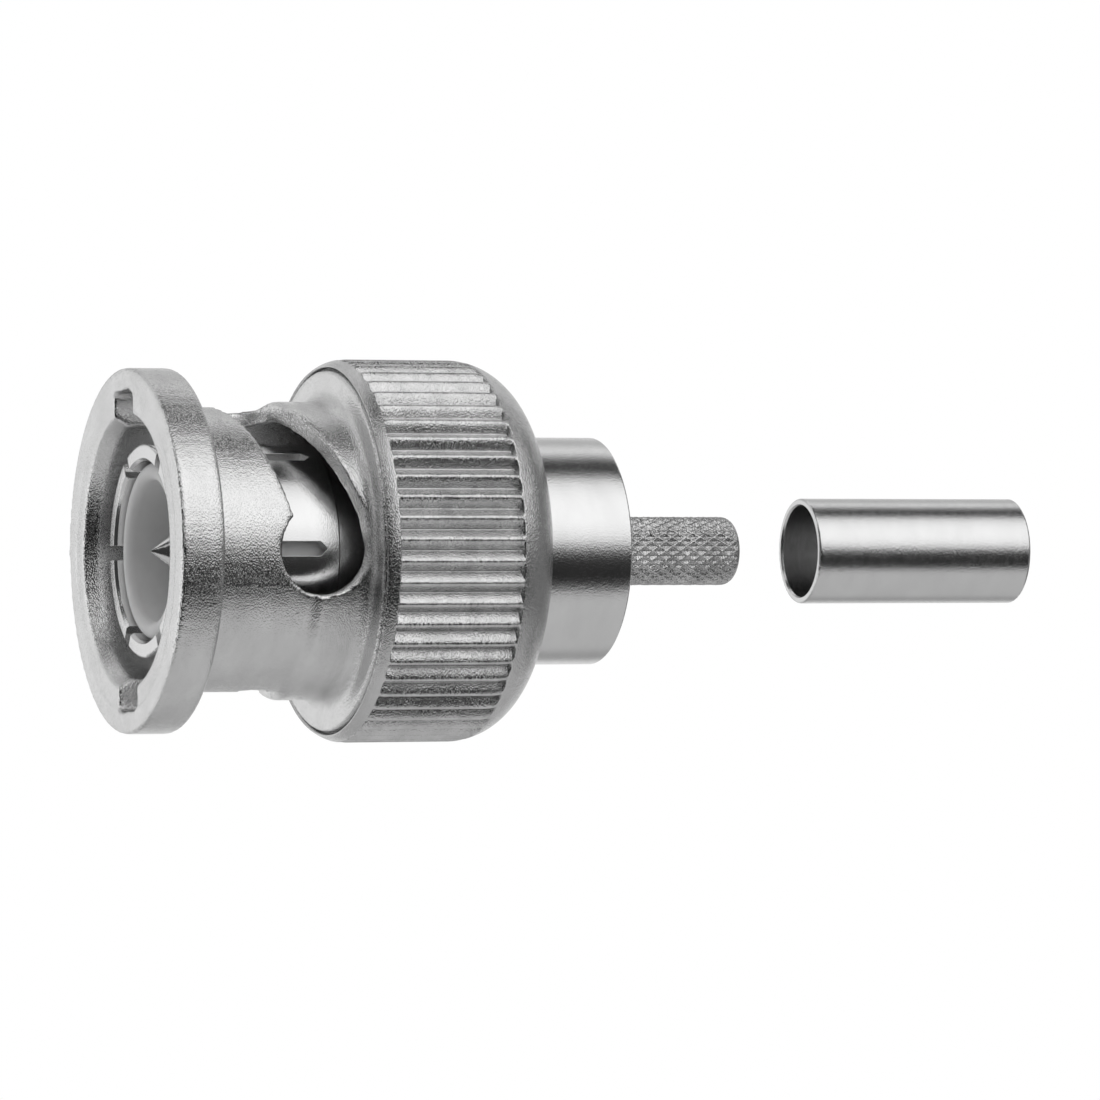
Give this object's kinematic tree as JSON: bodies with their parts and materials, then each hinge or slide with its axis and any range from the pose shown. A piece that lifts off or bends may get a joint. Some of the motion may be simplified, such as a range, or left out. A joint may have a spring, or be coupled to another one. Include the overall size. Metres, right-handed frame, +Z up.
{
  "type": "bnc cable plug",
  "caption": "Bayonet coaxial cable plug with a sprung, knurled coupling nut, slotted outer contact, centre pin, crimp stub and a loose crimp ferrule.",
  "frame": {"origin": "on the axis, in the plane where the slots between the outer contact's fingers end", "axes": "+X along the axis towards the cable, so the plug mates towards -X; +Z up, through the coupling nut's upper keyway"},
  "size_m": [0.0367, 0.0146, 0.0146],
  "materials": {
    "nut_plating": "satin nickel plate on turned brass",
    "shell_plating": "satin nickel plate on knurled brass",
    "washer_metal": "nickel plate",
    "spring_metal": "rolled spring bronze",
    "gasket_rubber": "silicone rubber",
    "body_plating": "polished nickel plate on turned brass",
    "contact_plating": "polished plate on spring brass",
    "white_ptfe": "turned white dielectric",
    "pin_plating": "polished plate",
    "ferrule_plating": "satin nickel plate on soft brass tube"
  },
  "bodies": {
    "plug": {"plug_body": "body_plating", "outer_contact": "contact_plating", "gasket": "gasket_rubber", "front_insulator": "white_ptfe", "centre_contact": "pin_plating", "rear_insulator": "white_ptfe", "front_wave_washer": "spring_metal", "rear_wave_washer": "spring_metal"},
    "thrust_ring": {"thrust_washer": "washer_metal"},
    "coupling_nut": {"bayonet_sleeve": "nut_plating", "knurled_shell": "shell_plating"},
    "ferrule": {"crimp_ferrule": "ferrule_plating"}
  },
  "joints": [
    {"name": "nut_slide", "type": "slide", "parent": "plug", "child": "thrust_ring", "axis": [-1, 0, 0], "range_m": [0, 0.00095], "stiffness_N_per_m": 300, "springref_m": -0.002, "deforming": ["front_wave_washer", "rear_wave_washer"]},
    {"name": "nut_spin", "type": "hinge", "parent": "thrust_ring", "child": "coupling_nut", "pos_m": [0, 0, 0], "axis": [1, 0, 0], "continuous": true},
    {"name": "ferrule_slide", "type": "slide", "parent": "plug", "child": "ferrule", "axis": [-1, 0, 0], "range_m": [0, 0.00878]}
  ]
}
